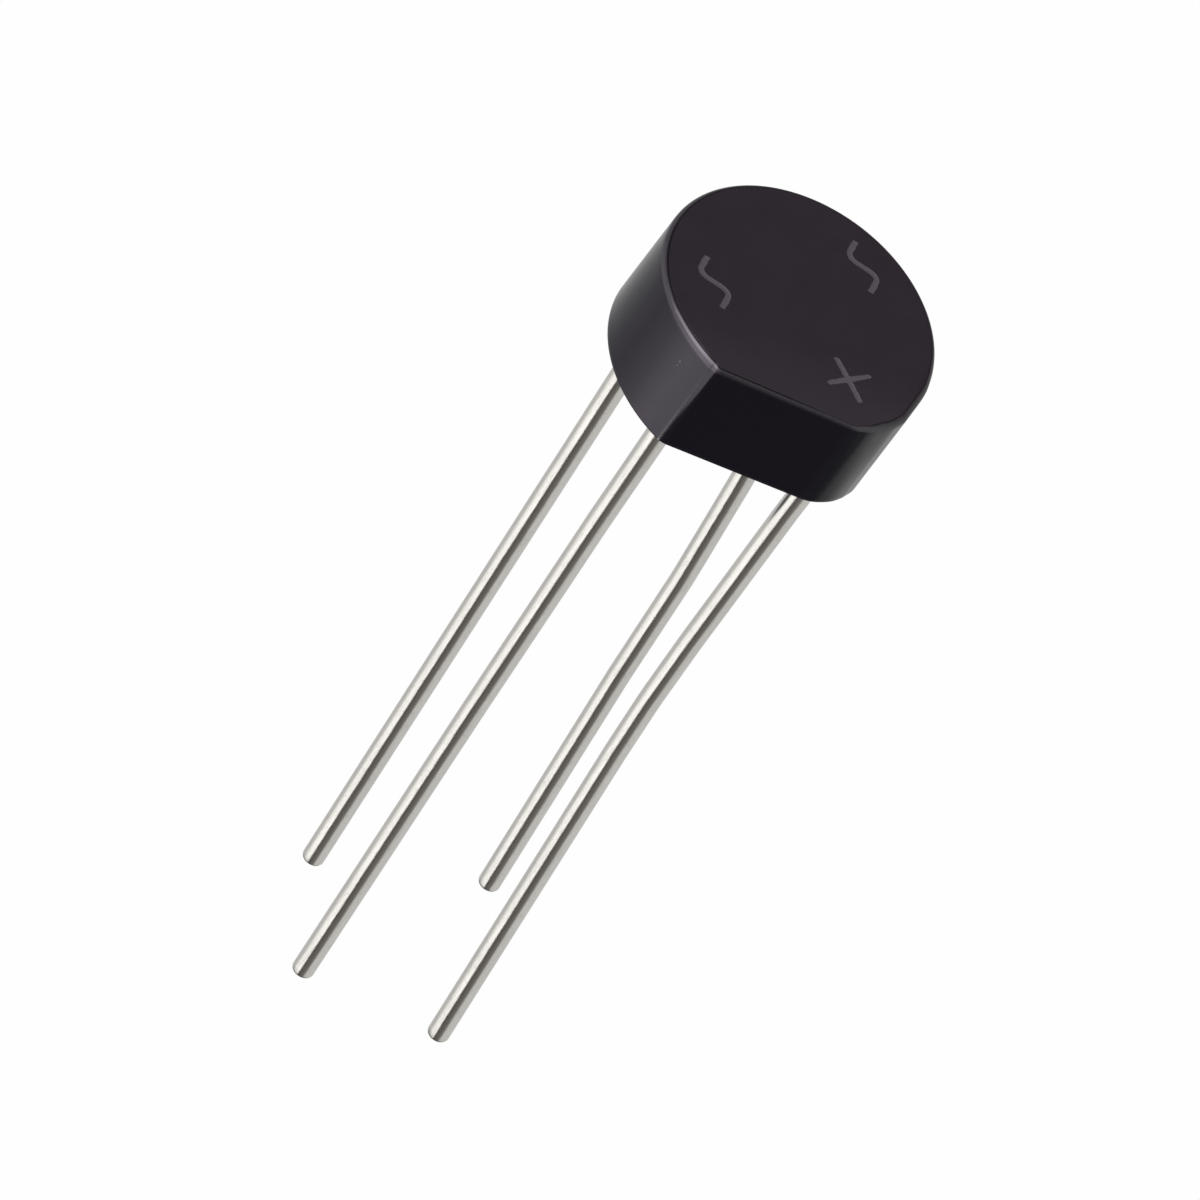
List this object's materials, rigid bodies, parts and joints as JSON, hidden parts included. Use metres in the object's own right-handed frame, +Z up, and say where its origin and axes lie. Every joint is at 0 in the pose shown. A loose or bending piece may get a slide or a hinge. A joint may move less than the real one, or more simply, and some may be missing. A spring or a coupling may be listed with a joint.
{
  "type": "bridge rectifier",
  "caption": "Round moulded single-phase bridge rectifier with a flat on one side, polarity marks on top and long slightly bent round wire leads below.",
  "frame": {"origin": "centre of the four leads on the underside of the body, which is the face that sits on the board", "axes": "+Z up through the body, the leads run down along -Z; X and Y run along the sides of the square of leads; the flat of the body is at the front, -Y; the positive lead is at +X, -Y"},
  "size_m": [0.0095, 0.0088, 0.034],
  "materials": {
    "moulding": "fine satin moulding, smoother on the sides and rim",
    "tinned_wire": "bright tin plating with faint lengthwise drawing lines",
    "silicon": "plain dull grey",
    "solder": "plain dull solder"
  },
  "bodies": {
    "root": {"body": "moulding", "lead_positive": "tinned_wire", "lead_negative": "tinned_wire", "lead_ac_front": "tinned_wire", "lead_ac_rear": "tinned_wire", "die_positive_front": "silicon", "die_positive_rear": "silicon", "die_negative_front": "silicon", "die_negative_rear": "silicon", "solder_under_die_positive_front": "solder", "solder_under_die_positive_rear": "solder", "solder_under_die_negative_front": "solder", "solder_under_die_negative_rear": "solder", "solder_over_die_positive_front": "solder", "solder_over_die_positive_rear": "solder", "solder_over_die_negative_front": "solder", "solder_over_die_negative_rear": "solder"}
  },
  "joints": []
}
